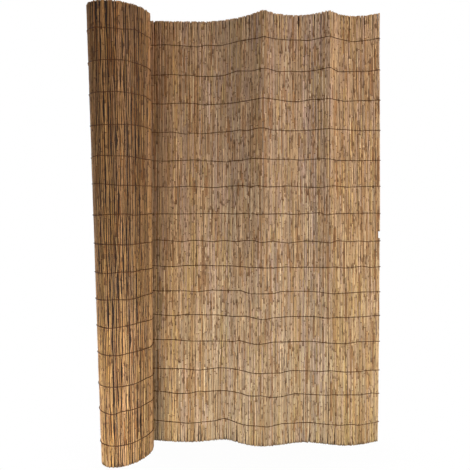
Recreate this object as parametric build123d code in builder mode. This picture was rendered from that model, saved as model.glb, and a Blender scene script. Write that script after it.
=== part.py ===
from build123d import *
from math import cos, pi, sin, tan
import os

# Reed screening mat, part unrolled and standing on its cut ends, in millimetres.
# +X runs along the unrolled stretch, away from the roll. -Y is the mat's face side. +Z is up.
# In plan the mat is a chain of straight runs between fold lines. Every fold line is a straight reed,
# from a station on the floor (foot) to a station at the top edge (head).

# The mat
MAT_HEIGHT = 2000.0
MAT_THICKNESS = 9.0
REED_PITCH = 12.0
REED_CREST = 4.8
GROOVE_DEPTH = 2.2

# The unrolled stretch, measured from the roll's side: along X, then along Y
HEAD_DIP = (230.0, 8.0)
HEAD_FLANK = (377.0, -33.0)
HEAD_CREST_1 = (505.0, -132.0)
HEAD_VALLEY_1 = (655.0, -69.0)
HEAD_CREST_2 = (802.0, -128.0)
HEAD_VALLEY_2 = (950.0, -60.0)
HEAD_END = (1036.0, -94.0)
FOOT_DIP = (227.0, -10.0)
FOOT_HOLLOW = (341.0, 4.0)
FOOT_FLANK = (430.0, -41.0)
FOOT_CREST_1 = (500.0, -57.0)
FOOT_VALLEY = (702.0, -19.0)
FOOT_CREST_2 = (890.0, -49.0)
FOOT_END = (1055.0, -7.0)
RUNS_PER_STRETCH = (2, 3, 4, 3)

# The roll, over its outside: an oval, pushed over so that its front lies further from the stretch
ROLL_FOOT_WIDTH = 199.0
ROLL_FOOT_MIDDLE = -101.0
ROLL_HEAD_WIDTH = 257.0
ROLL_HEAD_MIDDLE = -143.0
ROLL_DEPTH = 245.0
ROLL_SKEW = 40.0
ROLL_TURNS = 7.0
TURN_CLEARANCE = 3.0
CHORDS_PER_TURN = 16
RIDGED_CHORDS = 15

# The binding wires, a pair in each row
WIRE_WIDTH = 2.2
WIRE_CLEARANCE = 0.3
BOTTOM_MARGIN = 96.0
TOP_MARGIN = 119.0
ROW_DRIFT = (0, 10, -6, 3, -7, -18, -28, -36, -35, -35, -39, -32, -22, -15, 0)
NIP_CHORD = 14
NIP_REACH = 30.0

# Gaps where two reeds part, and the break in the last reed
GAP_WIDTH = 2.6
GAP_HEIGHT = 70.0
GAP_BAY_STEP = 31
BREAK_ROW = 8
BREAK_ABOVE_ROW = 15.0
BREAK_HEIGHT = 32.0
BREAK_DEPTH = 8.0

HALF = MAT_THICKNESS / 2
GROOVE_HALF = HALF - GROOVE_DEPTH
TURN_PITCH = MAT_THICKNESS + TURN_CLEARANCE
FIRST_ANGLE = pi / 2
ROW_PITCH = (MAT_HEIGHT - BOTTOM_MARGIN - TOP_MARGIN) / (len(ROW_DRIFT) - 1)
ROW_HEIGHTS = [BOTTOM_MARGIN + ROW_PITCH * row + drift for row, drift in enumerate(ROW_DRIFT)]


def unrolled_stations():
    """Foot and head of each fold line of the unrolled stretch, from the roll to the free end."""
    with BuildLine() as head_line:
        dip = Line((0, 0), HEAD_DIP)
        flank = ThreePointArc(HEAD_DIP, HEAD_FLANK, HEAD_CREST_1)
        sag_1 = ThreePointArc(HEAD_CREST_1, HEAD_VALLEY_1, HEAD_CREST_2)
        sag_2 = ThreePointArc(HEAD_CREST_2, HEAD_VALLEY_2, HEAD_END)
    with BuildLine() as foot_line:
        Spline((0, 0), FOOT_DIP, FOOT_HOLLOW, FOOT_FLANK, FOOT_CREST_1, FOOT_VALLEY, FOOT_CREST_2, FOOT_END)
    head, shares, passed = [dip @ 0], [0.0], 0.0
    total = head_line.wire().length
    for stretch, runs in zip((dip, flank, sag_1, sag_2), RUNS_PER_STRETCH):
        for k in range(1, runs + 1):
            head.append(stretch @ (k / runs))
            shares.append((passed + stretch.length * k / runs) / total)
        passed += stretch.length
    foot = [foot_line.wire() @ share for share in shares]
    return foot, head


def roll_stations(width, middle):
    """Stations of the spiral, from the back of the roll inwards, for an oval of that width and middle."""
    half_width = (width - MAT_THICKNESS + TURN_PITCH) / 2
    half_depth = (ROLL_DEPTH - MAT_THICKNESS + TURN_PITCH / 2) / 2
    stations = []
    for k in range(round(ROLL_TURNS * CHORDS_PER_TURN) + 1):
        turn = k / CHORDS_PER_TURN
        angle = FIRST_ANGLE + 2 * pi * turn
        x = (half_width - TURN_PITCH * turn) * cos(angle)
        y = (half_depth - TURN_PITCH * turn) * sin(angle)
        stations.append(Vector(middle + x + ROLL_SKEW * y / half_depth, y - half_depth))
    return stations


def bend(line, k):
    """Signed turn of the line at station k, in radians, positive to the left."""
    if k in (0, len(line) - 1):
        return 0.0
    before, after = line[k] - line[k - 1], line[k + 1] - line[k]
    return before.get_signed_angle(after, Vector(0, 0, 1)) * pi / 180


def side_point(line, k, offset):
    """Station k moved to the left by offset, on the mitre between its two runs."""
    before = (line[k] - line[k - 1]).normalized() if k > 0 else (line[1] - line[0]).normalized()
    after = (line[k + 1] - line[k]).normalized() if k < len(line) - 1 else before
    middle = (before + after).normalized()
    return line[k] + Vector(-middle.Y, middle.X) * (offset / cos(bend(line, k) / 2))


def at_height(z):
    """The mat's stations in plan at height z."""
    share = z / MAT_HEIGHT
    return [low + (high - low) * share for low, high in zip(FOOT, HEAD)]


def reeds_in_run(k):
    """How many reeds lie side by side in the run after station k."""
    length = ((FOOT[k + 1] - FOOT[k]).length + (HEAD[k + 1] - HEAD[k]).length) / 2
    return max(1, round(length / REED_PITCH))


def corner_share(k, station, side):
    """Share of run k that reeds keep clear of, inside the sharper corner at one of its stations."""
    shares = [0.0]
    for line in (FOOT, HEAD):
        shares.append(HALF * tan(side * bend(line, station) / 2) / (line[k + 1] - line[k]).length)
    return max(shares)


def side_outline(line, side, ridged_runs):
    """One side of the mat in plan: side 1 is the face, -1 the back."""
    points = []
    for k in range(len(line)):
        rough = any(run in ridged_runs for run in (k - 1, k))
        points.append(side_point(line, k, side * (GROOVE_HALF if rough else HALF)))
        if k not in ridged_runs:
            continue
        run = line[k + 1] - line[k]
        along = run.normalized()
        out = Vector(-along.Y, along.X) * side
        first, last = corner_share(k, k, side), 1 - corner_share(k, k + 1, side)
        pitch = (last - first) / reeds_in_run(k)
        slope = (1 - REED_CREST / REED_PITCH) / 2 * pitch
        for i in range(reeds_in_run(k)):
            start = first + pitch * i
            if i:
                points.append(line[k] + run * start + out * GROOVE_HALF)
            points.append(line[k] + run * (start + slope) + out * HALF)
            points.append(line[k] + run * (start + pitch - slope) + out * HALF)
    return points


def outline(line):
    """The mat's whole outline in plan, ridged wherever its reeds can be seen."""
    face = side_outline(line, 1, range(UNROLLED_RUNS))
    back = side_outline(line, -1, range(UNROLLED_RUNS + 1 + RIDGED_CHORDS))
    return face + back[::-1]


def upright(low, high, z):
    """Point at height z on the straight reed line from low to high, and that line's direction."""
    share = z / MAT_HEIGHT
    foot_point, head_point = Vector(low.X, low.Y, 0), Vector(high.X, high.Y, MAT_HEIGHT)
    return foot_point + (head_point - foot_point) * share, (head_point - foot_point).normalized()


def gap_places():
    """Where reeds have parted: on grooves of the unrolled stretch, midway between two rows of wire."""
    grooves = [(k, i / reeds_in_run(k)) for k in range(UNROLLED_RUNS) for i in range(1, reeds_in_run(k))]
    places = []
    for bay, (lower, upper) in enumerate(zip(ROW_HEIGHTS, ROW_HEIGHTS[1:])):
        k, share = grooves[bay * GAP_BAY_STEP % len(grooves)]
        low = FOOT[k] + (FOOT[k + 1] - FOOT[k]) * share
        high = HEAD[k] + (HEAD[k + 1] - HEAD[k]) * share
        middle, up = upright(low, high, (lower + upper) / 2)
        line = at_height(middle.Z)
        places.append(Plane(middle, x_dir=line[k + 1] - line[k], z_dir=up))
    return places


def break_place():
    """Where the last reed of the free end is broken out, just above one row of wire."""
    z = ROW_HEIGHTS[BREAK_ROW - 1] + BREAK_ABOVE_ROW + BREAK_HEIGHT / 2
    line = at_height(z)
    middle, up = upright(FOOT[0], HEAD[0], z)
    return Plane(middle, x_dir=line[1] - line[0], z_dir=up)


def face_wire(line):
    """Plan of a wire on the face, from the nip beside the roll, with its end turned round the last reed."""
    near, far = HALF + WIRE_CLEARANCE, HALF + WIRE_CLEARANCE + WIRE_WIDTH
    into_nip = (line[UNROLLED_RUNS + 1] - line[UNROLLED_RUNS]).normalized()
    track = line[:UNROLLED_RUNS + 1] + [line[UNROLLED_RUNS] + into_nip * NIP_REACH]
    beyond = (track[0] - track[1]).normalized()
    out = Vector(beyond.Y, -beyond.X)
    inner = [side_point(track, k, near) for k in range(1, len(track))]
    outer = [side_point(track, k, far) for k in range(1, len(track))]
    end_in = track[0] + beyond * WIRE_CLEARANCE
    end_out = end_in + beyond * WIRE_WIDTH
    turned = [end_out + out * far, end_out - out * far, end_in - out * far, end_in + out * near]
    return outer[::-1] + turned + inner


def back_wire(line):
    """Plan of a wire on the back, from the free end and round the roll's outer turn."""
    near, far = HALF + WIRE_CLEARANCE, HALF + WIRE_CLEARANCE + WIRE_WIDTH
    track = line[:UNROLLED_RUNS + 2 + NIP_CHORD]
    inner = [side_point(track, k, -near) for k in range(len(track))]
    outer = [side_point(track, k, -far) for k in range(len(track))]
    return inner + outer[::-1]


# Stations from the free end, along the unrolled stretch and into the roll
unrolled_foot, unrolled_head = unrolled_stations()
FOOT = unrolled_foot[::-1] + roll_stations(ROLL_FOOT_WIDTH, ROLL_FOOT_MIDDLE)
HEAD = unrolled_head[::-1] + roll_stations(ROLL_HEAD_WIDTH, ROLL_HEAD_MIDDLE)
UNROLLED_RUNS = len(unrolled_foot) - 1

# The origin is under the middle of the mat's box
edge_points = outline(FOOT) + outline(HEAD)
CENTRE = Vector(
    (min(p.X for p in edge_points) + max(p.X for p in edge_points)) / 2,
    (min(p.Y for p in edge_points) + max(p.Y for p in edge_points)) / 2,
)
FOOT = [p - CENTRE for p in FOOT]
HEAD = [p - CENTRE for p in HEAD]

with BuildPart() as reed_mat:
    for line, z in ((FOOT, 0), (HEAD, MAT_HEIGHT)):
        with BuildSketch(Plane.XY.offset(z)):
            with BuildLine():
                Polyline(*outline(line), close=True)
            make_face()
    loft(ruled=True)
    with Locations(*gap_places()):
        Box(GAP_WIDTH, 2 * MAT_THICKNESS, GAP_HEIGHT, mode=Mode.SUBTRACT)
    with Locations(break_place()):
        Box(2 * BREAK_DEPTH, 2 * MAT_THICKNESS, BREAK_HEIGHT, mode=Mode.SUBTRACT)

os.makedirs("parts", exist_ok=True)
reed_mat.part.label = "reed_mat"
export_step(reed_mat.part, "parts/reed_mat.step")

for row, z in enumerate(ROW_HEIGHTS, start=1):
    line = at_height(z)
    for name, points in (("face_wire", face_wire(line)), ("back_wire", back_wire(line))):
        with BuildPart() as wire:
            with BuildSketch(Plane.XY.offset(z - WIRE_WIDTH / 2)):
                with BuildLine():
                    Polyline(*points, close=True)
                make_face()
            extrude(amount=WIRE_WIDTH)
        wire.part.label = f"{name}_{row:02d}"
        export_step(wire.part, f"parts/{wire.part.label}.step")
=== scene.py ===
"""Looks of the straw screening mat: each stalk, the bent wires, light and camera. Metres, +Z up."""

from math import pi

import bpy
import numpy as np
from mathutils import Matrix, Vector


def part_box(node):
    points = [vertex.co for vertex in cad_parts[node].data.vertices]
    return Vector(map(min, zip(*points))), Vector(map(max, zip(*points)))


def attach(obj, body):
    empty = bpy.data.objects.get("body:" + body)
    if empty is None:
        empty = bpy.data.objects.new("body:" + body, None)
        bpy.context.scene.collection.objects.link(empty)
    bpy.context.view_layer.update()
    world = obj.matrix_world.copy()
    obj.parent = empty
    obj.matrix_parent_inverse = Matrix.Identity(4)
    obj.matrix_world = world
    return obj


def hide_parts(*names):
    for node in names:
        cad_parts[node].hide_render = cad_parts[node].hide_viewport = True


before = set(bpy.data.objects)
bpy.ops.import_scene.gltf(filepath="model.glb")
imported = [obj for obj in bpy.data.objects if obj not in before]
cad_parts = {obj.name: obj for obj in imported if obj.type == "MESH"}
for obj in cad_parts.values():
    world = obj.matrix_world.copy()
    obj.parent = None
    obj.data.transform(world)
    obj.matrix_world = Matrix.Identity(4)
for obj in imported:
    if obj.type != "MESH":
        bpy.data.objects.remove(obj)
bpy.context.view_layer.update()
rng = np.random.default_rng(11)

# Plan of the mat, as in the part's source: along the unrolled stretch from the roll's side, then depth
HEAD_START = (0.0, 0.0)
HEAD_DIP = (0.230, 0.008)
HEAD_FLANK = (0.377, -0.033)
HEAD_CREST_1 = (0.505, -0.132)
HEAD_VALLEY_1 = (0.655, -0.069)
HEAD_CREST_2 = (0.802, -0.128)
HEAD_VALLEY_2 = (0.950, -0.060)
HEAD_END = (1.036, -0.094)
FOOT_END = (1.055, -0.007)
FOOT_POINTS = (
    (0.0, 0.0), (0.227, -0.010), (0.341, 0.004), (0.430, -0.041),
    (0.500, -0.057), (0.702, -0.019), (0.890, -0.049), FOOT_END,
)
ROLL_FOOT_WIDTH = 0.199
ROLL_FOOT_MIDDLE = -0.101
ROLL_HEAD_WIDTH = 0.257
ROLL_HEAD_MIDDLE = -0.143
ROLL_DEPTH = 0.245
ROLL_SKEW = 0.040
ROLL_TURNS = 7.0
MAT_THICKNESS = 0.009
TURN_PITCH = 0.012
HALF = MAT_THICKNESS / 2
END_CORNER = 0.001

# Only here: points on the roll's spiral, and how far the top edge's sharp crests are rounded
ROLL_POINTS = 2600
CREST_ROUND, EASE_SPAN = 0.008, 3

# The free end bows out between foot and head, and its last stalk is broken out over a short height
END_BOW = 0.007
BOW_REACH = 0.15
BREAK_ROW = 8
BREAK_ABOVE_ROW = 0.015
BREAK_HEIGHT = 0.032
BREAK_DEPTH = 0.009

# The frame gives the mat's place, its height and the rows of wire
mat_low, mat_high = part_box("reed_mat")
MAT_HEIGHT = mat_high.z
MAT_PLACE = np.array((mat_high.x - FOOT_END[0] - END_CORNER, mat_low.y + ROLL_DEPTH - HALF))
WIRE_ROWS = 15
row_boxes = [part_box(f"face_wire_{row:02d}") for row in range(1, WIRE_ROWS + 1)]
ROW_HEIGHTS = np.array([(low.z + high.z) / 2 for low, high in row_boxes])
BREAK_LOW = ROW_HEIGHTS[BREAK_ROW - 1] + BREAK_ABOVE_ROW
BREAK_HIGH = BREAK_LOW + BREAK_HEIGHT

# Stalks: radius and gap to the next, on the open stretch and inside the roll, round it, and in the core
PANEL_RADIUS, PANEL_GAP = (0.0030, 0.0042), (-0.0005, 0.0005)
ROLL_RADIUS, ROLL_GAP = (0.0022, 0.0033), (0.0016, 0.0048)
CORE_RADIUS, CORE_GAP = (0.0025, 0.0030), (-0.0006, -0.0002)
# Share of gaps that are wider, and by how much
OPEN_SHARE, OPEN_GAP = 0.10, 0.0012

# Layers: their depth from the mat's middle, how far the core stops short, and how far the face runs on
LAYER_DEPTH = 0.0019
CORE_SHORTER = 0.005
CORE_RAISED = CORE_SHORTER / 3
FACE_PAST_NIP = 0.08

# How far stalks stray in depth and sideways: at the rows of wire, between them and at the ends
ROW_DEPTH, BAY_DEPTH = 0.00025, 0.0005
ROW_SWAY, BAY_SWAY, END_SPLAY = 0.0003, 0.0008, 0.0021
# Stalks round the roll stray more between their ends, by this factor
ROLL_LOOSE = 3.3
# Unevenness of tips and feet, and how much a stalk narrows from one end to the other
TIP_SPREAD, FOOT_SPREAD = 0.0022, 0.002
TAPER = 0.1

# Rings: sides of each, and the most height between two on a stalk with joints and on a plain one
STALK_SIDES = 6
RING_GAP = 0.048
PLAIN_RING_GAP = 6 * RING_GAP

# Joints: where they may start above the foot, room to the first and under the tip, and gaps
JOINTS_FROM, FIRST_JOINT, LAST_JOINT = 0.02, (0.02, 0.18), 0.06
JOINT_GAP = (0.10, 0.24)
# Rings of a joint: heights beside it, radius shares, and how many are dark or else dimmed
JOINT_BELOW, JOINT_RIDGE, JOINT_ABOVE = -0.004, -0.0005, 0.002
JOINT_SWELL, JOINT_NECK = 1.12, 1.05
DARK_JOINTS, JOINT_DIM = 0.4, 0.75

# Leaf sheaths: how many joints have one, its reach to the next joint, its rings and the stain above it
SHEATH_SHARE = 0.45
SHEATH_REACH = (0.2, 0.8)
SHEATH_LEAST, SHEATH_BELOW_TIP = 0.01, 0.04
SHEATH_FROM, SHEATH_SWELL = 0.004, 1.12
LIP_HEIGHT, LIP_SWELL = 0.001, 1.10
STAIN_LENGTH, STAIN_FADE = (0.006, 0.022), 0.003
STAIN_SIZES, STAIN_SHARES = (0.97, 0.99), (0.7, 0.5)

# Ends of a stalk: a cut rim round a short bore, with painted shade in the bore and on the edges of the
# cut, a foot darkened with painted shade, and a tip of its own tone
RIM_EDGE, RIM_SIZE, RIM_SHADE = 0.0015, 0.98, 0.6
BORE_SIZE, BORE_FLOOR = 0.6, 0.5
FOOT_BORE, TIP_BORE = 0.003, 0.004
FOOT_SHADE_HEIGHT, TIP_HEIGHT = (0.008, 0.02), 0.018

# Stalk colours, 0 to 255, with how often each comes
STALK_COLOURS = (
    ((192, 157, 121), 5), ((184, 148, 112), 6), ((186, 151, 124), 4), ((186, 150, 105), 3),
    ((174, 142, 112), 3), ((172, 132, 93), 2), ((166, 124, 88), 1),
)
SHEATH_COLOURS = (((174, 136, 97), 4), ((154, 112, 74), 2), ((198, 166, 130), 3), ((180, 145, 115), 3))
MARK_COLOUR = (104, 67, 37)
# The bore's colour is painted shade inside the hollow stalk
BORE_SHADE_COLOUR = (52, 32, 18)
CUT_COLOUR = (196, 170, 134)
# The core is very dark: painted shade inside the mat, seen through the gaps between face and back stalks
CORE_SHADE_COLOUR = (38, 21, 10)

# Tints at foot, middle and head: both sides browner away from the foot and the back darker, partly the
# reed's own colour and partly painted shade where less light falls up the mat
TINT_SHARES = (0.0, 0.5, 1.0)
FACE_TINTS_AND_SHADE = np.array(((1.02, 1.12, 1.02), (0.92, 0.93, 0.84), (1.05, 1.04, 0.97)))
BACK_TINTS_AND_SHADE = np.array(((0.88, 0.82, 0.60), (0.64, 0.55, 0.38), (0.71, 0.58, 0.41)))
# The face is darker and browner beside the roll, most of all towards the head: painted shade where the
# roll shuts out light
NIP_SHADE, NIP_SHADE_FADE = np.array((0.62, 0.50, 0.39)), 0.25

# Neighbours are alike: the chance of the same colour, and how much of a tone and a hue is held or new
SAME_COLOUR = 0.25
TONE_HELD, TONE_STEP = 0.6, 0.036
HUE_HELD, HUE_STEP = 0.92, 0.042
HUE_REACH = np.array((0.0, 0.25, 1.0))
# Ranges of tone between two joints, of a sheath, of the painted shade at the foot, of the tip and of its
# cut
JOINT_TONE, SHEATH_TONE = (0.80, 1.14), (0.85, 1.10)
FOOT_SHADE_TONE, TIP_TONE, CUT_TONE = (0.25, 0.9), (0.55, 1.25), (0.6, 1.0)

# Reed material: shift of each noise from stalk to stalk, then its scales across and along a stalk
TONE_NOISE = (7.3, 0, 30)
FIBRE_NOISE = (3.1, 620, 9)
SPECK_NOISE = (31.7, 170, 38)
PATCH_SCALES = (42, 42, 13)
SEED_RANGE = 100
# Reed material: the part of each noise that counts, and the tone, share or roughness that it gives
TONE_RAMP = (0.3, 0.7, 0.86, 1.12)
PATCH_RAMP = (0.3, 0.7, 0.90, 1.10)
FIBRE_RAMP = (0.25, 0.75, 0.88, 1.10)
SPECK_RAMP = (0.60, 0.67, 0.0, 0.8)
REED_ROUGHNESS_RAMP = (0.2, 0.8, 0.6, 0.82)
TONE_DETAIL, PATCH_DETAIL, FIBRE_DETAIL, SPECK_DETAIL = 5.0, 2.0, 2.0, 1.0
REED_SPECULAR = 0.3
BUMP_STRENGTH, BUMP_DISTANCE = 0.35, 0.0006

# Wires: section, and steps along them, which are rounded to that many digits
WIRE_RADIUS = 0.0016
WIRE_SIDES = 6
WIRE_STEP, TRACK_DIGITS = 0.006, 5
# Bends up and down, and knots, which are thicker and pull the wire in
WIRE_WAVE = 0.0034
BEND_GAP = (0.03, 0.085)
KNOT_GAP = (0.018, 0.046)
KNOT_SIZE, KNOT_HALF = 1.4, 0.0015
KNOT_STEP, KNOT_CLEAR = 0.002, 0.004
WIRE_OUT = 0.0013
WIRE_PULL, PULL_REACH = 0.0014, 0.004
# Reach of face wires past the open stretch and of back wires round the roll, and the turn at the free end
NIP_REACH = 0.03
WIRE_END_TURN = 0.85
TURN_OUT = 0.0018
TURN_DEPTHS = (-0.005, -0.002, 0.002, 0.005)

# Wire material: bare and rusty colours, and the rust's noise
WIRE_COLOURS = ((58, 31, 11), (88, 50, 20))
RUST_SCALE, RUST_DETAIL, RUST_RAMP = 60.0, 3.0, (0.35, 0.65, 0.0, 1.0)
WIRE_ROUGHNESS_RAMP = (0.0, 1.0, 0.5, 0.8)
WIRE_SPECULAR = 0.2

# Floor: its size, just under the mat, its finish, and the oval round the mat where its shadow shows
FLOOR_HALF, FLOOR_DROP = 9.0, 0.0005
FLOOR_COLOUR, FLOOR_ROUGHNESS = (0.85, 0.85, 0.85, 1.0), 0.9
SHADOW_SCALES, SHADOW_RAMP = (0.35, 1.0, 1.0), (0.1, 0.34, 0.97, 1.0)

# Light: strength of the white surround where it isn't seen directly
WORLD_LIGHT = 0.11
# Name, place, aim, size and power of each lamp
LAMPS = (
    ("low_right", (2.0, -1.5, 0.25), (0.3, 0.0, 0.4), (1.0, 0.4), 38.0),
    ("high_right", (1.4, -1.1, 1.6), (0.45, 0.0, 1.4), (0.8, 1.2), 10.0),
    ("high_front", (0.7, -2.4, 1.7), (0.4, 0.0, 1.5), (1.0, 0.8), 11.0),
    ("left_graze", (-1.7, -0.9, 0.9), (0.4, 0.0, 0.9), (0.6, 1.4), 2.5),
    ("roll_glow", (-0.75, -0.95, 0.12), (-0.5, -0.1, 0.12), (0.5, 0.2), 10.0),
    ("back_fill", (0.5, 3.0, 2.2), (0.0, 0.0, 0.9), (2.5, 2.0), 60.0),
    ("back_left", (-2.4, 1.9, 1.5), (-0.4, 0.0, 0.9), (1.4, 1.4), 30.0),
    ("overhead", (-0.1, 0.25, 3.6), (-0.1, 0.0, 2.0), (1.4, 0.3), 36.0),
)

# Camera, from the photo's 470 pixel frame: level, with the horizon above the middle
PHOTO_SIZE = 470
HORIZON_ROW = 205
CAMERA_DISTANCE = 2.243
CAMERA_HEIGHT = 1.122
CAMERA_ALONG = 0.377
CAMERA_LENS = 36

# Colour sockets of a Mix node
MIX_A, MIX_B, MIX_RESULT = 6, 7, 2


def linear(colour):
    """Linear light of an 8-bit screen colour."""
    c = np.asarray(colour, float) / 255
    return np.where(c <= 0.04045, c / 12.92, ((c + 0.055) / 1.055) ** 2.4)


def pick(palette):
    """One linear colour from a palette of colours and weights."""
    weights = np.array([w for _, w in palette], float)
    return linear(palette[rng.choice(len(palette), p=weights / weights.sum())][0])


def straight(a, b, count=60):
    """Points on the line from a to b."""
    return np.linspace(a, b, count)


def arc_through(a, b, c, count=160):
    """Points on the arc from a through b to c."""
    a, b, c = (complex(*p) for p in (a, b, c))
    w = (c - a) / (b - a)
    centre = (b - a) * (w - abs(w) ** 2) / (2j * w.imag) + a
    middle, last = (np.angle((p - centre) / (a - centre)) % (2 * pi) for p in (b, c))
    sweep = last if middle < last else last - 2 * pi
    points = centre + (a - centre) * np.exp(1j * np.linspace(0, sweep, count))
    return np.column_stack((points.real, points.imag))


def spline_through(points, count=900):
    """Points on the natural cubic spline through the given points."""
    points = np.array(points)
    knots = steps_along(points)
    step = np.diff(knots)
    size = len(points)
    system, right = np.eye(size), np.zeros((size, 2))
    slope = np.diff(points, axis=0) / step[:, None]
    for k in range(1, size - 1):
        system[k, k - 1:k + 2] = step[k - 1], 2 * (step[k - 1] + step[k]), step[k]
        right[k] = 6 * (slope[k] - slope[k - 1])
    bend = np.linalg.solve(system, right)
    t = np.linspace(0, knots[-1], count)
    k = np.clip(np.searchsorted(knots, t) - 1, 0, size - 2)
    h, after, before = step[k][:, None], (t - knots[k])[:, None], (knots[k + 1] - t)[:, None]
    curved = (bend[k] * before ** 3 + bend[k + 1] * after ** 3) / (6 * h)
    flat = (points[k] / h - bend[k] * h / 6) * before + (points[k + 1] / h - bend[k + 1] * h / 6) * after
    return curved + flat


def steps_along(points):
    """Length along a line of points, up to each point."""
    return np.append(0, np.cumsum(np.linalg.norm(np.diff(points, axis=0), axis=1)))


def even(points, count=700):
    """The same line with points at even steps."""
    length = steps_along(points)
    at = np.linspace(0, length[-1], count)
    return np.column_stack([np.interp(at, length, column) for column in points.T])


def eased(points, reach):
    """The same line of even points with its sharp crests rounded over that reach."""
    step = steps_along(points)[1]
    size = int(EASE_SPAN * reach / step)
    weights = np.exp(-0.5 * (np.arange(-size, size + 1) * step / reach) ** 2)
    weights /= weights.sum()
    before = 2 * points[0] - points[size:0:-1]
    after = 2 * points[-1] - points[-2:-size - 2:-1]
    padded = np.concatenate((before, points, after))
    return np.column_stack([np.convolve(column, weights, "valid") for column in padded.T])


def roll_line(width, middle):
    """The spiral of the roll, from its back inwards, for an oval of that width and middle."""
    half_width = (width - MAT_THICKNESS + TURN_PITCH) / 2
    half_depth = (ROLL_DEPTH - MAT_THICKNESS + TURN_PITCH / 2) / 2
    turn = np.linspace(0, ROLL_TURNS, ROLL_POINTS)
    angle = pi / 2 + 2 * pi * turn
    x = (half_width - TURN_PITCH * turn) * np.cos(angle)
    y = (half_depth - TURN_PITCH * turn) * np.sin(angle)
    return np.column_stack((middle + x + ROLL_SKEW * y / half_depth, y - half_depth))


# The mat's line on the floor and at the top edge, from the free end to the roll's core
head_line = np.concatenate((
    straight(HEAD_START, HEAD_DIP),
    arc_through(HEAD_DIP, HEAD_FLANK, HEAD_CREST_1),
    arc_through(HEAD_CREST_1, HEAD_VALLEY_1, HEAD_CREST_2),
    arc_through(HEAD_CREST_2, HEAD_VALLEY_2, HEAD_END),
))
unrolled_foot = even(spline_through(FOOT_POINTS))
unrolled_head = eased(even(head_line), CREST_ROUND)
FOOT = np.concatenate((unrolled_foot[::-1], roll_line(ROLL_FOOT_WIDTH, ROLL_FOOT_MIDDLE))) + MAT_PLACE
HEAD = np.concatenate((unrolled_head[::-1], roll_line(ROLL_HEAD_WIDTH, ROLL_HEAD_MIDDLE))) + MAT_PLACE
ALONG = (steps_along(FOOT) + steps_along(HEAD)) / 2
FOOT_SLOPE, HEAD_SLOPE = (np.gradient(line, ALONG, axis=0) for line in (FOOT, HEAD))
FREE_LENGTH = ALONG[len(unrolled_foot) - 1]


def turn_end(turns):
    """How far along the mat that many turns of the roll end."""
    return ALONG[len(unrolled_foot) + int(turns / ROLL_TURNS * (ROLL_POINTS - 1))]


def between(along, share, foot_values, head_values):
    """Values at distances along the mat, from the foot's to the head's by the share of the height."""
    columns = []
    for foot_column, head_column in zip(foot_values.T, head_values.T):
        low, high = np.interp(along, ALONG, foot_column), np.interp(along, ALONG, head_column)
        columns.append(low + (high - low) * share)
    return np.column_stack(columns)


def place(along, z, depth):
    """Points of the mat: a distance from the free end, a height, and a depth towards the face."""
    share = np.clip(z / MAT_HEIGHT, 0, 1)
    spot = between(along, share, FOOT, HEAD)
    slope = between(along, share, FOOT_SLOPE, HEAD_SLOPE)
    slope /= np.linalg.norm(slope, axis=1)[:, None]
    bow = END_BOW * np.clip(1 - along / BOW_REACH, 0, 1) * np.sin(pi * share)
    spot += slope * (np.minimum(along, 0) - bow)[:, None]
    x = spot[:, 0] - slope[:, 1] * depth
    y = spot[:, 1] + slope[:, 0] * depth
    return np.column_stack((x, y, z))


def mesh_object(name, points, quads, caps, attributes, material):
    """A smooth mesh object from point, quad and cap arrays, with colours and values on its points."""
    mesh = bpy.data.meshes.new(name)
    loops = np.concatenate((quads.ravel(), caps.ravel()))
    sizes = np.concatenate((np.full(len(quads), 4), np.full(len(caps), caps.shape[1])))
    starts = np.append(0, np.cumsum(sizes)[:-1])
    mesh.vertices.add(len(points))
    mesh.vertices.foreach_set("co", points.astype(np.float32).ravel())
    mesh.loops.add(len(loops))
    mesh.loops.foreach_set("vertex_index", loops.astype(np.int32))
    mesh.polygons.add(len(sizes))
    mesh.polygons.foreach_set("loop_start", starts.astype(np.int32))
    mesh.update(calc_edges=True)
    mesh.polygons.foreach_set("use_smooth", np.ones(len(sizes), bool))
    for key, values in attributes.items():
        if values.ndim == 2:
            layer = mesh.color_attributes.new(key, "FLOAT_COLOR", "POINT")
            rgba = np.column_stack((values, np.ones(len(values))))
            layer.data.foreach_set("color", rgba.astype(np.float32).ravel())
        else:
            layer = mesh.attributes.new(key, "FLOAT", "POINT")
            layer.data.foreach_set("value", values.astype(np.float32))
    mesh.materials.append(material)
    piece = bpy.data.objects.new(name, mesh)
    bpy.context.scene.collection.objects.link(piece)
    return piece


def tube_faces(ring_counts, sides):
    """Quads between neighbouring rings of each tube, and a cap on each end."""
    ends = np.cumsum(ring_counts)
    rings = np.delete(np.arange(ends[-1]), ends - 1)
    j = np.arange(sides)
    beside = (j + 1) % sides
    low = rings[:, None] * sides
    high = low + sides
    quads = np.stack((low + j, low + beside, high + beside, high + j), axis=2).reshape(-1, 4)
    first = (ends - ring_counts)[:, None] * sides + j[::-1]
    last = (ends - 1)[:, None] * sides + j
    return quads, np.concatenate((first, last))


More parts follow.
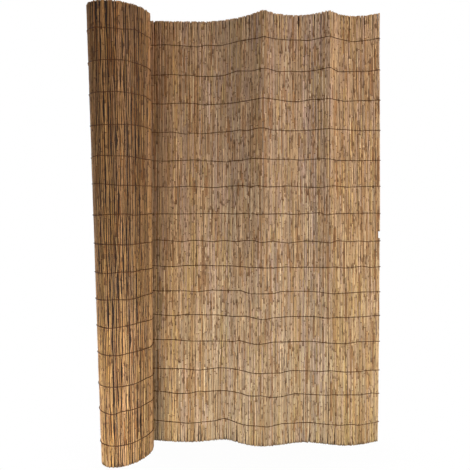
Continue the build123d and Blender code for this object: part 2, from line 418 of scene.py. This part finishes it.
def joints_of_stalk(foot, tip, own, shade):
    """Rings of a stalk's joints and of the leaf sheaths above them, from foot to tip."""
    mark = linear(MARK_COLOUR)
    rings = []
    z = foot + rng.uniform(*FIRST_JOINT)
    while z < tip - LAST_JOINT:
        gap = rng.uniform(*JOINT_GAP)
        tone = own if rng.random() < SAME_COLOUR else pick(STALK_COLOURS) * shade
        tone = tone * rng.uniform(*JOINT_TONE)
        ridge = mark if rng.random() < DARK_JOINTS else tone * JOINT_DIM
        rings.append((z + JOINT_BELOW, 1.0, rings[-1][2] if rings else own))
        rings.append((z + JOINT_RIDGE, JOINT_SWELL, ridge))
        rings.append((z + JOINT_ABOVE, JOINT_NECK, tone))
        end = min(z + gap * rng.uniform(*SHEATH_REACH), tip - SHEATH_BELOW_TIP)
        if rng.random() < SHEATH_SHARE and end > z + SHEATH_LEAST:
            sheath = pick(SHEATH_COLOURS) * shade * rng.uniform(*SHEATH_TONE)
            stain_end = end + rng.uniform(*STAIN_LENGTH)
            rings.append((z + SHEATH_FROM, SHEATH_SWELL, sheath))
            rings.append((end - LIP_HEIGHT, LIP_SWELL, sheath))
            for height, size, share in zip((end, stain_end), STAIN_SIZES, STAIN_SHARES):
                rings.append((height, size, mark * share + tone * (1 - share)))
            rings.append((stain_end + STAIN_FADE, 1.0, tone))
        z += gap
    return rings


def stalk_rings(foot, tip, own, shade, detailed):
    """Rings of one stalk from foot to tip: rows of height, radius share, red, green and blue."""
    bore_shade, cut = linear(BORE_SHADE_COLOUR), linear(CUT_COLOUR) * rng.uniform(*CUT_TONE)
    # The foot is darkened over a short height: painted shade where the stalks meet the floor
    foot_shade = own * rng.uniform(*FOOT_SHADE_TONE)
    body = [(foot + RIM_EDGE, 1.0, foot_shade), (foot + rng.uniform(*FOOT_SHADE_HEIGHT), 1.0, own)]
    if detailed:
        body += joints_of_stalk(foot + JOINTS_FROM, tip, own, shade)
    body.append((tip - TIP_HEIGHT, 1.0, body[-1][2]))
    body.append((tip - RIM_EDGE, 1.0, own * rng.uniform(*TIP_TONE)))
    rows = np.array([(z, size, *colour) for z, size, colour in body])
    rows = rows[np.argsort(rows[:, 0], kind="stable")]
    spacing = RING_GAP if detailed else PLAIN_RING_GAP
    heights = [rows[0, 0]]
    for low, high in zip(rows[:, 0], rows[1:, 0]):
        heights += list(np.linspace(low, high, int((high - low) / spacing) + 2)[1:])
    columns = [np.interp(heights, rows[:, 0], column) for column in rows[:, 1:].T]
    filled = np.column_stack((heights, *columns))
    # Cap rings: the bore and the edges of the cut darkened as painted shade
    first = (
        (foot + FOOT_BORE, BORE_FLOOR, *bore_shade),
        (foot, BORE_SIZE, *bore_shade),
        (foot, RIM_SIZE, *(foot_shade * RIM_SHADE)),
    )
    last = (
        (tip, RIM_SIZE, *cut),
        (tip, BORE_SIZE, *(cut * RIM_SHADE)),
        (tip - TIP_BORE, BORE_FLOOR, *bore_shade),
    )
    return np.concatenate((first, filled, last))


def bay_drift(z, row_size, bay_size, end_size):
    """Drift of one stalk along its height, at the rows of wire, between them and at its ends."""
    bays = (ROW_HEIGHTS[1:] + ROW_HEIGHTS[:-1]) / 2
    ends = (0.0, MAT_HEIGHT)
    at = np.concatenate((ROW_HEIGHTS, bays, ends))
    size = np.repeat((row_size, bay_size, end_size), (len(ROW_HEIGHTS), len(bays), len(ends)))
    order = np.argsort(at)
    return np.interp(z, at[order], (size * rng.normal(0, 1, len(at)))[order])


def stalk_tint_and_shade(share, spot, side):
    """Colour factors of a stalk up its height: browner away from the foot and on the back, partly painted
    shade, and painted shade beside the roll.
    """
    tints_and_shade = BACK_TINTS_AND_SHADE if side < 0 else FACE_TINTS_AND_SHADE
    tint_and_shade = np.column_stack([np.interp(share, TINT_SHARES, channel) for channel in tints_and_shade.T])
    if side > 0:
        # Painted shade on the face next to the roll
        near = np.clip(1 - (FREE_LENGTH - spot) / NIP_SHADE_FADE, 0, 1) ** 2 * np.sqrt(share)
        tint_and_shade *= 1 - near[:, None] * (1 - NIP_SHADE)
    return tint_and_shade


def stalks(name, start, end, side, radii, gaps, material, detailed=True, dark=False, loose=1.0):
    """One layer of stalks: on the face (side 1), on the back (side -1) or in the core (side 0)."""
    lowered, raised = (CORE_SHORTER, CORE_RAISED) if dark else (0.0, 0.0)
    along, depth, z, radius, colour, seed, counts = [], [], [], [], [], [], []
    spot, own, tone, hue = start, pick(STALK_COLOURS), 1.0, 0.0
    while True:
        size = rng.uniform(*radii)
        spot += size
        if spot > end - size:
            break
        own = own if rng.random() < SAME_COLOUR else pick(STALK_COLOURS)
        tone = 1 + TONE_HELD * (tone - 1) + rng.normal(0, TONE_STEP * loose)
        hue = HUE_HELD * hue + rng.normal(0, HUE_STEP)
        shade = tone * (1 - hue * HUE_REACH)
        # Core stalks take the dark core colour, which is painted shade inside the mat
        base = linear(CORE_SHADE_COLOUR) if dark else own * shade
        tip = MAT_HEIGHT - lowered - abs(rng.normal(0, TIP_SPREAD))
        foot = raised + rng.uniform(0.0, FOOT_SPREAD)
        spans = ((foot, BREAK_LOW), (BREAK_HIGH, tip)) if spot < BREAK_DEPTH else ((foot, tip),)
        for low, high in spans:
            rows = stalk_rings(low, high, base, shade, detailed)
            height = rows[:, 0]
            share = height / MAT_HEIGHT
            taper = 1 + rng.choice((-1, 1)) * TAPER * (share - 0.5)
            sway = bay_drift(height, ROW_SWAY * loose, BAY_SWAY * loose, END_SPLAY) if detailed else 0.0
            along.append(np.full(len(rows), spot) + sway)
            depth.append(side * LAYER_DEPTH + bay_drift(height, ROW_DEPTH, BAY_DEPTH, BAY_DEPTH))
            z.append(height)
            radius.append(rows[:, 1] * size * taper)
            colour.append(rows[:, 2:] * stalk_tint_and_shade(share, spot, side))
            seed.append(np.full(len(rows), rng.uniform(0, SEED_RANGE)))
            counts.append(len(rows))
        spot += size + rng.uniform(*gaps) + (OPEN_GAP if rng.random() < OPEN_SHARE else 0.0)
    along, depth, z, radius, seed = (np.concatenate(a) for a in (along, depth, z, radius, seed))
    angle = 2 * pi * np.arange(STALK_SIDES) / STALK_SIDES
    ring_along = (along[:, None] + radius[:, None] * np.cos(angle)).ravel()
    ring_depth = (depth[:, None] - radius[:, None] * np.sin(angle)).ravel()
    points = place(ring_along, np.repeat(z, STALK_SIDES), ring_depth)
    quads, caps = tube_faces(np.array(counts), STALK_SIDES)
    values = {
        "stalk_colour_and_shade": np.repeat(np.concatenate(colour), STALK_SIDES, axis=0),
        "stalk_seed": np.repeat(seed, STALK_SIDES),
    }
    piece = mesh_object(name, points, quads, caps, values, material)
    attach(piece, "root")
    return piece


def wire(name, node, track, material):
    """A bent wire along a track of along, height, depth and radius, in place of its CAD node."""
    spots = place(*track.T[:3])
    run = np.gradient(spots, axis=0)
    run /= np.linalg.norm(run, axis=1)[:, None]
    across = np.cross(np.array((0.0, 0.0, 1.0)), run)
    across /= np.linalg.norm(across, axis=1)[:, None]
    up = np.cross(run, across)
    angle = 2 * pi * np.arange(WIRE_SIDES) / WIRE_SIDES
    ring = across[:, None] * np.cos(angle)[:, None] + up[:, None] * np.sin(angle)[:, None]
    points = (spots[:, None] + ring * track[:, 3][:, None, None]).reshape(-1, 3)
    quads, caps = tube_faces(np.array([len(spots)]), WIRE_SIDES)
    piece = mesh_object(name, points, quads, caps, {}, material)
    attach(piece, "root")
    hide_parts(node)


def marks_between(start, end, gap):
    """Places from start to past the end, with a random gap between neighbours."""
    marks = [start]
    while marks[-1] < end:
        marks.append(marks[-1] + rng.uniform(*gap))
    return np.array(marks)


def wire_track(start, end, z, side):
    """Track of a wire that lies on one side, wavy, and pulled in at a knot between every few stalks."""
    bends, knots = marks_between(start, end, BEND_GAP), marks_between(start, end, KNOT_GAP)
    inner = knots[(knots > start + KNOT_CLEAR) & (knots < end - KNOT_CLEAR)]
    steps = np.arange(start, end, WIRE_STEP)
    along = np.concatenate((steps, inner - KNOT_STEP, inner, inner + KNOT_STEP))
    along = np.unique(along.round(TRACK_DIGITS))
    rise = np.interp(along, bends, rng.normal(0, WIRE_WAVE, len(bends)))
    near = np.min(np.abs(along[:, None] - knots[None]), axis=1)
    depth = side * (HALF + WIRE_OUT - WIRE_PULL * np.exp(-(near / PULL_REACH) ** 2))
    radius = WIRE_RADIUS * np.where(near < KNOT_HALF, KNOT_SIZE, 1.0)
    return np.column_stack((along, z + rise, depth, radius))


def node_tree(name):
    """A new material, its node tree and its surface shader."""
    material = bpy.data.materials.new(name)
    material.use_nodes = True
    tree = material.node_tree
    return material, tree, tree.nodes["Principled BSDF"]


def math_node(tree, operation, a, b):
    """A Math node with values or links on its two inputs."""
    node = tree.nodes.new("ShaderNodeMath")
    node.operation = operation
    for socket, value in zip(node.inputs, (a, b)):
        if isinstance(value, (int, float)):
            socket.default_value = value
        else:
            tree.links.new(value, socket)
    return node.outputs[0]


def noise_node(tree, vector, scale, detail):
    """A Noise Texture's value over a vector."""
    node = tree.nodes.new("ShaderNodeTexNoise")
    node.inputs["Scale"].default_value = scale
    node.inputs["Detail"].default_value = detail
    tree.links.new(vector, node.inputs["Vector"])
    return node.outputs["Fac"]


def ramp_node(tree, value, low, high, to_low, to_high):
    """Maps a value from one range to another, held at the ends."""
    node = tree.nodes.new("ShaderNodeMapRange")
    tree.links.new(value, node.inputs["Value"])
    for key, number in zip(("From Min", "From Max", "To Min", "To Max"), (low, high, to_low, to_high)):
        node.inputs[key].default_value = number
    return node.outputs["Result"]


def mix_node(tree, blend, factor, a, b):
    """A colour Mix node of the given blend."""
    node = tree.nodes.new("ShaderNodeMix")
    node.data_type = "RGBA"
    node.blend_type = blend
    sockets = node.inputs["Factor"], node.inputs[MIX_A], node.inputs[MIX_B]
    for socket, value in zip(sockets, (factor, a, b)):
        if isinstance(value, (int, float)):
            socket.default_value = value
        elif isinstance(value, tuple):
            socket.default_value = (*value, 1.0)
        else:
            tree.links.new(value, socket)
    return node.outputs[MIX_RESULT]


def stalk_space(tree, seed, spot, spread, across, along):
    """A vector that differs from stalk to stalk, with one scale across a stalk and one along it."""
    scaled = tree.nodes.new("ShaderNodeMapping")
    scaled.inputs["Scale"].default_value = (across, across, along)
    tree.links.new(spot, scaled.inputs["Vector"])
    parts = tree.nodes.new("ShaderNodeSeparateXYZ")
    tree.links.new(scaled.outputs[0], parts.inputs[0])
    moved = tree.nodes.new("ShaderNodeCombineXYZ")
    shift = math_node(tree, "MULTIPLY", seed, spread)
    tree.links.new(math_node(tree, "ADD", parts.outputs[0], shift), moved.inputs[0])
    tree.links.new(parts.outputs[1], moved.inputs[1])
    tree.links.new(math_node(tree, "ADD", parts.outputs[2], shift), moved.inputs[2])
    return moved.outputs[0]


def reed_material():
    """Dry reed: each stalk's colour with the shade painted into it, with lengthwise tone, fine fibres and
    short dark marks.
    """
    material, tree, shader = node_tree("dry_reed")
    colour = tree.nodes.new("ShaderNodeVertexColor")
    colour.layer_name = "stalk_colour_and_shade"
    seed = tree.nodes.new("ShaderNodeAttribute")
    seed.attribute_name = "stalk_seed"
    seed = seed.outputs["Fac"]
    spot = tree.nodes.new("ShaderNodeTexCoord").outputs["Object"]
    tone = noise_node(tree, stalk_space(tree, seed, spot, *TONE_NOISE), 1.0, TONE_DETAIL)
    tone = ramp_node(tree, tone, *TONE_RAMP)
    patches = tree.nodes.new("ShaderNodeMapping")
    patches.inputs["Scale"].default_value = PATCH_SCALES
    tree.links.new(spot, patches.inputs["Vector"])
    patch = ramp_node(tree, noise_node(tree, patches.outputs[0], 1.0, PATCH_DETAIL), *PATCH_RAMP)
    tone = math_node(tree, "MULTIPLY", tone, patch)
    fibre = noise_node(tree, stalk_space(tree, seed, spot, *FIBRE_NOISE), 1.0, FIBRE_DETAIL)
    speck = noise_node(tree, stalk_space(tree, seed, spot, *SPECK_NOISE), 1.0, SPECK_DETAIL)
    speck = ramp_node(tree, speck, *SPECK_RAMP)
    shaded = math_node(tree, "MULTIPLY", tone, ramp_node(tree, fibre, *FIBRE_RAMP))
    grey = tree.nodes.new("ShaderNodeCombineColor")
    for socket in grey.inputs:
        tree.links.new(shaded, socket)
    toned = mix_node(tree, "MULTIPLY", 1.0, colour.outputs["Color"], grey.outputs[0])
    marked = mix_node(tree, "MIX", speck, toned, tuple(linear(MARK_COLOUR)))
    tree.links.new(marked, shader.inputs["Base Color"])
    tree.links.new(ramp_node(tree, fibre, *REED_ROUGHNESS_RAMP), shader.inputs["Roughness"])
    shader.inputs["Specular IOR Level"].default_value = REED_SPECULAR
    bump = tree.nodes.new("ShaderNodeBump")
    bump.inputs["Strength"].default_value = BUMP_STRENGTH
    bump.inputs["Distance"].default_value = BUMP_DISTANCE
    tree.links.new(fibre, bump.inputs["Height"])
    tree.links.new(bump.outputs[0], shader.inputs["Normal"])
    return material


def wire_material():
    """Dark brown annealed wire with rust in patches."""
    material, tree, shader = node_tree("brown_wire")
    spot = tree.nodes.new("ShaderNodeTexCoord").outputs["Object"]
    patch = ramp_node(tree, noise_node(tree, spot, RUST_SCALE, RUST_DETAIL), *RUST_RAMP)
    bare, rusty = (tuple(linear(colour)) for colour in WIRE_COLOURS)
    tree.links.new(mix_node(tree, "MIX", patch, bare, rusty), shader.inputs["Base Color"])
    tree.links.new(ramp_node(tree, patch, *WIRE_ROUGHNESS_RAMP), shader.inputs["Roughness"])
    shader.inputs["Specular IOR Level"].default_value = WIRE_SPECULAR
    return material


def seen_directly(tree):
    """Light Path's share that is seen by the camera, or in gloss or glass."""
    path = tree.nodes.new("ShaderNodeLightPath")
    seen = math_node(tree, "MAXIMUM", path.outputs["Is Camera Ray"], path.outputs["Is Glossy Ray"])
    return math_node(tree, "MAXIMUM", seen, path.outputs["Is Transmission Ray"])


def floor_material():
    """White floor that keeps a faint shadow close to the mat and runs out to plain white."""
    material, tree, shader = node_tree("white_floor")
    shader.inputs["Base Color"].default_value = FLOOR_COLOUR
    shader.inputs["Roughness"].default_value = FLOOR_ROUGHNESS
    shader.inputs["Specular IOR Level"].default_value = 0.0
    white = tree.nodes.new("ShaderNodeEmission")
    scaled = tree.nodes.new("ShaderNodeMapping")
    scaled.inputs["Scale"].default_value = SHADOW_SCALES
    spot = tree.nodes.new("ShaderNodeTexCoord")
    tree.links.new(spot.outputs["Object"], scaled.inputs["Vector"])
    away = tree.nodes.new("ShaderNodeVectorMath")
    away.operation = "LENGTH"
    tree.links.new(scaled.outputs[0], away.inputs[0])
    plain = ramp_node(tree, away.outputs["Value"], *SHADOW_RAMP)
    mix = tree.nodes.new("ShaderNodeMixShader")
    tree.links.new(math_node(tree, "MULTIPLY", seen_directly(tree), plain), mix.inputs[0])
    tree.links.new(shader.outputs[0], mix.inputs[1])
    tree.links.new(white.outputs[0], mix.inputs[2])
    tree.links.new(mix.outputs[0], tree.nodes["Material Output"].inputs["Surface"])
    return material


def area_light(name, place_at, aim, size, power):
    """A soft rectangular light aimed at a point."""
    data = bpy.data.lights.new(name, "AREA")
    data.shape = "RECTANGLE"
    data.size, data.size_y = size
    data.energy = power
    lamp = bpy.data.objects.new(name, data)
    bpy.context.scene.collection.objects.link(lamp)
    lamp.location = place_at
    lamp.visible_camera = False
    lamp.rotation_mode = "QUATERNION"
    lamp.rotation_quaternion = (Vector(aim) - Vector(place_at)).to_track_quat("-Z", "Y")


# Stalks: three layers of the open stretch, the roll's outer turn, and the turns inside it
reed = reed_material()
outer_end = turn_end(1.0)
face_end = FREE_LENGTH + FACE_PAST_NIP
panel = stalks("face_stalks", 0.0, face_end, 1, PANEL_RADIUS, PANEL_GAP, reed)
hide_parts("reed_mat")
stalks("back_stalks", 0.0, FREE_LENGTH, -1, PANEL_RADIUS, PANEL_GAP, reed)
# The core layer is painted dark as shade inside the mat
stalks("core_stalks", BREAK_DEPTH, outer_end, 0, CORE_RADIUS, CORE_GAP, reed, detailed=False, dark=True)
stalks("roll_outer_stalks", FREE_LENGTH, outer_end, -1, ROLL_RADIUS, ROLL_GAP, reed, loose=ROLL_LOOSE)
stalks("roll_lining_stalks", face_end, outer_end, 1, PANEL_RADIUS, PANEL_GAP, reed, detailed=False)
stalks("roll_inner_face_stalks", outer_end, ALONG[-1], 1, PANEL_RADIUS, PANEL_GAP, reed, detailed=False)
stalks("roll_inner_back_stalks", outer_end, ALONG[-1], -1, PANEL_RADIUS, PANEL_GAP, reed, detailed=False)

# Wires: one on the face and one on the back in each row
brown = wire_material()
for row, z in enumerate(ROW_HEIGHTS, start=1):
    face = wire_track(0.0, FREE_LENGTH + NIP_REACH, z, 1)
    turned = np.array([(-TURN_OUT, face[0, 1], depth, WIRE_RADIUS) for depth in TURN_DEPTHS])
    wire(f"bent_face_wire_{row:02d}", f"face_wire_{row:02d}", np.concatenate((turned, face)), brown)
    back = wire_track(0.0, turn_end(WIRE_END_TURN), z, -1)
    wire(f"bent_back_wire_{row:02d}", f"back_wire_{row:02d}", back, brown)

# Stage: white floor, soft light, white surround
corners = [(-FLOOR_HALF, -FLOOR_HALF, 0), (FLOOR_HALF, -FLOOR_HALF, 0),
           (FLOOR_HALF, FLOOR_HALF, 0), (-FLOOR_HALF, FLOOR_HALF, 0)]
floor_mesh = bpy.data.meshes.new("floor")
floor_mesh.from_pydata(corners, [], [(0, 1, 2, 3)])
floor_mesh.materials.append(floor_material())
floor = bpy.data.objects.new("floor", floor_mesh)
floor.location.z = -FLOOR_DROP
bpy.context.scene.collection.objects.link(floor)

for lamp_values in LAMPS:
    area_light(*lamp_values)

world = bpy.data.worlds.new("surround")
world.use_nodes = True
bpy.context.scene.world = world
background = world.node_tree.nodes["Background"]
background.inputs["Color"].default_value = (1, 1, 1, 1)
surround = ramp_node(world.node_tree, seen_directly(world.node_tree), 0.0, 1.0, WORLD_LIGHT, 1.0)
world.node_tree.links.new(surround, background.inputs["Strength"])

# Camera
camera_data = bpy.data.cameras.new("camera")
camera = bpy.data.objects.new("camera", camera_data)
bpy.context.scene.collection.objects.link(camera)
camera.location = (MAT_PLACE[0] + CAMERA_ALONG, MAT_PLACE[1] - CAMERA_DISTANCE, CAMERA_HEIGHT)
camera.rotation_euler = (pi / 2, 0, 0)
camera_data.lens = CAMERA_LENS
camera_data.sensor_width = CAMERA_LENS
camera_data.shift_y = (HORIZON_ROW - PHOTO_SIZE / 2) / PHOTO_SIZE
bpy.context.scene.camera = camera
bpy.context.scene.view_settings.view_transform = "Standard"
